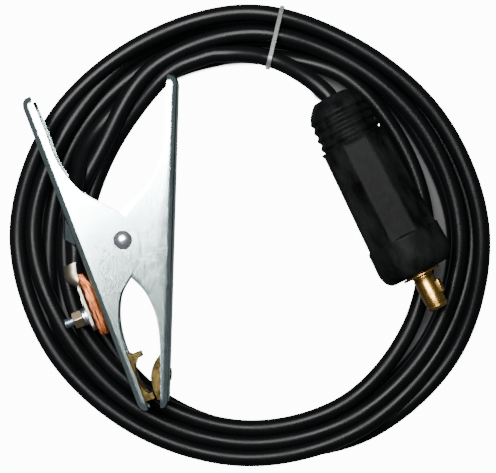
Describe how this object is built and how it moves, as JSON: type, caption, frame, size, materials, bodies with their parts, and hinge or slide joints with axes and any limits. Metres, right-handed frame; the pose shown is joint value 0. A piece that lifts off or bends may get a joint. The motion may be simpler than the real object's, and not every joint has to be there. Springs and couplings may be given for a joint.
{
  "type": "welding ground clamp with cable",
  "caption": "Sprung metal earth clamp with a toothed and a domed jaw shoe, joined to a tied coil of black welding cable that ends in a bayonet cable plug.",
  "frame": {"origin": "centre of the metal clamp's own box, midway between its two faces, with the cable, coil and plug left out", "axes": "+Z is parallel to the jaws' pivot axis and points away from the surface that the coil lies on; +Y runs along the clamp from its noses to its handles; +X points from the cable jaw towards the moving jaw and the coil"},
  "size_m": [0.2951, 0.283, 0.0667],
  "materials": {
    "jaw_zinc": "bright zinc plated pressed steel, satin with fine scratches",
    "rivet_zinc": "polished zinc plated steel",
    "bush_steel": "turned steel",
    "spring_steel": "zinc plated round spring wire",
    "shoe_yellow": "yellow passivated zinc plate, satin",
    "shoe_rivet_yellow": "yellow passivated zinc plate, satin",
    "fastener_zinc": "zinc plated steel",
    "bracket_zinc": "warm toned zinc plated pressed steel",
    "conductor_copper": "bare stranded copper, partly dulled",
    "plug_rubber": "moulded black rubber, satin",
    "contact_brass": "machined brass, satin",
    "screw_steel": "blackened steel",
    "cable_rubber": "smooth black rubber cable sheath, semi gloss",
    "tie_nylon": "translucent natural nylon"
  },
  "bodies": {
    "root": {"cable_jaw": "jaw_zinc", "pivot_rivet": "rivet_zinc", "pivot_bush": "bush_steel", "torsion_spring": "spring_steel", "toothed_shoe": "shoe_yellow", "toothed_shoe_rivet": "shoe_rivet_yellow", "lug_bolt": "fastener_zinc", "plain_washer": "fastener_zinc", "spring_washer": "fastener_zinc", "lug_nut": "fastener_zinc", "conductor_end": "conductor_copper", "cable_bracket": "bracket_zinc", "plug_sleeve": "plug_rubber", "plug_pin": "contact_brass", "plug_set_screw_1": "screw_steel", "plug_set_screw_2": "screw_steel", "plug_ferrule": "conductor_copper", "plug_strands": "conductor_copper", "plug_locking_pin": "screw_steel", "cable_coil": "cable_rubber", "coil_tie": "tie_nylon", "cable_lead": "cable_rubber", "cable_tail": "cable_rubber"},
    "moving_jaw_body": {"moving_jaw": "jaw_zinc", "domed_shoe": "shoe_yellow", "domed_shoe_rivet": "shoe_rivet_yellow"}
  },
  "joints": [
    {"name": "jaw_pivot", "type": "hinge", "parent": "root", "child": "moving_jaw_body", "pos_m": [0.0136, 0.0013, 0], "axis": [0, 0, 1], "range_deg": [0, 30], "stiffness_Nm_per_rad": 4, "springref_deg": -45.84, "deforming": ["torsion_spring"]}
  ]
}
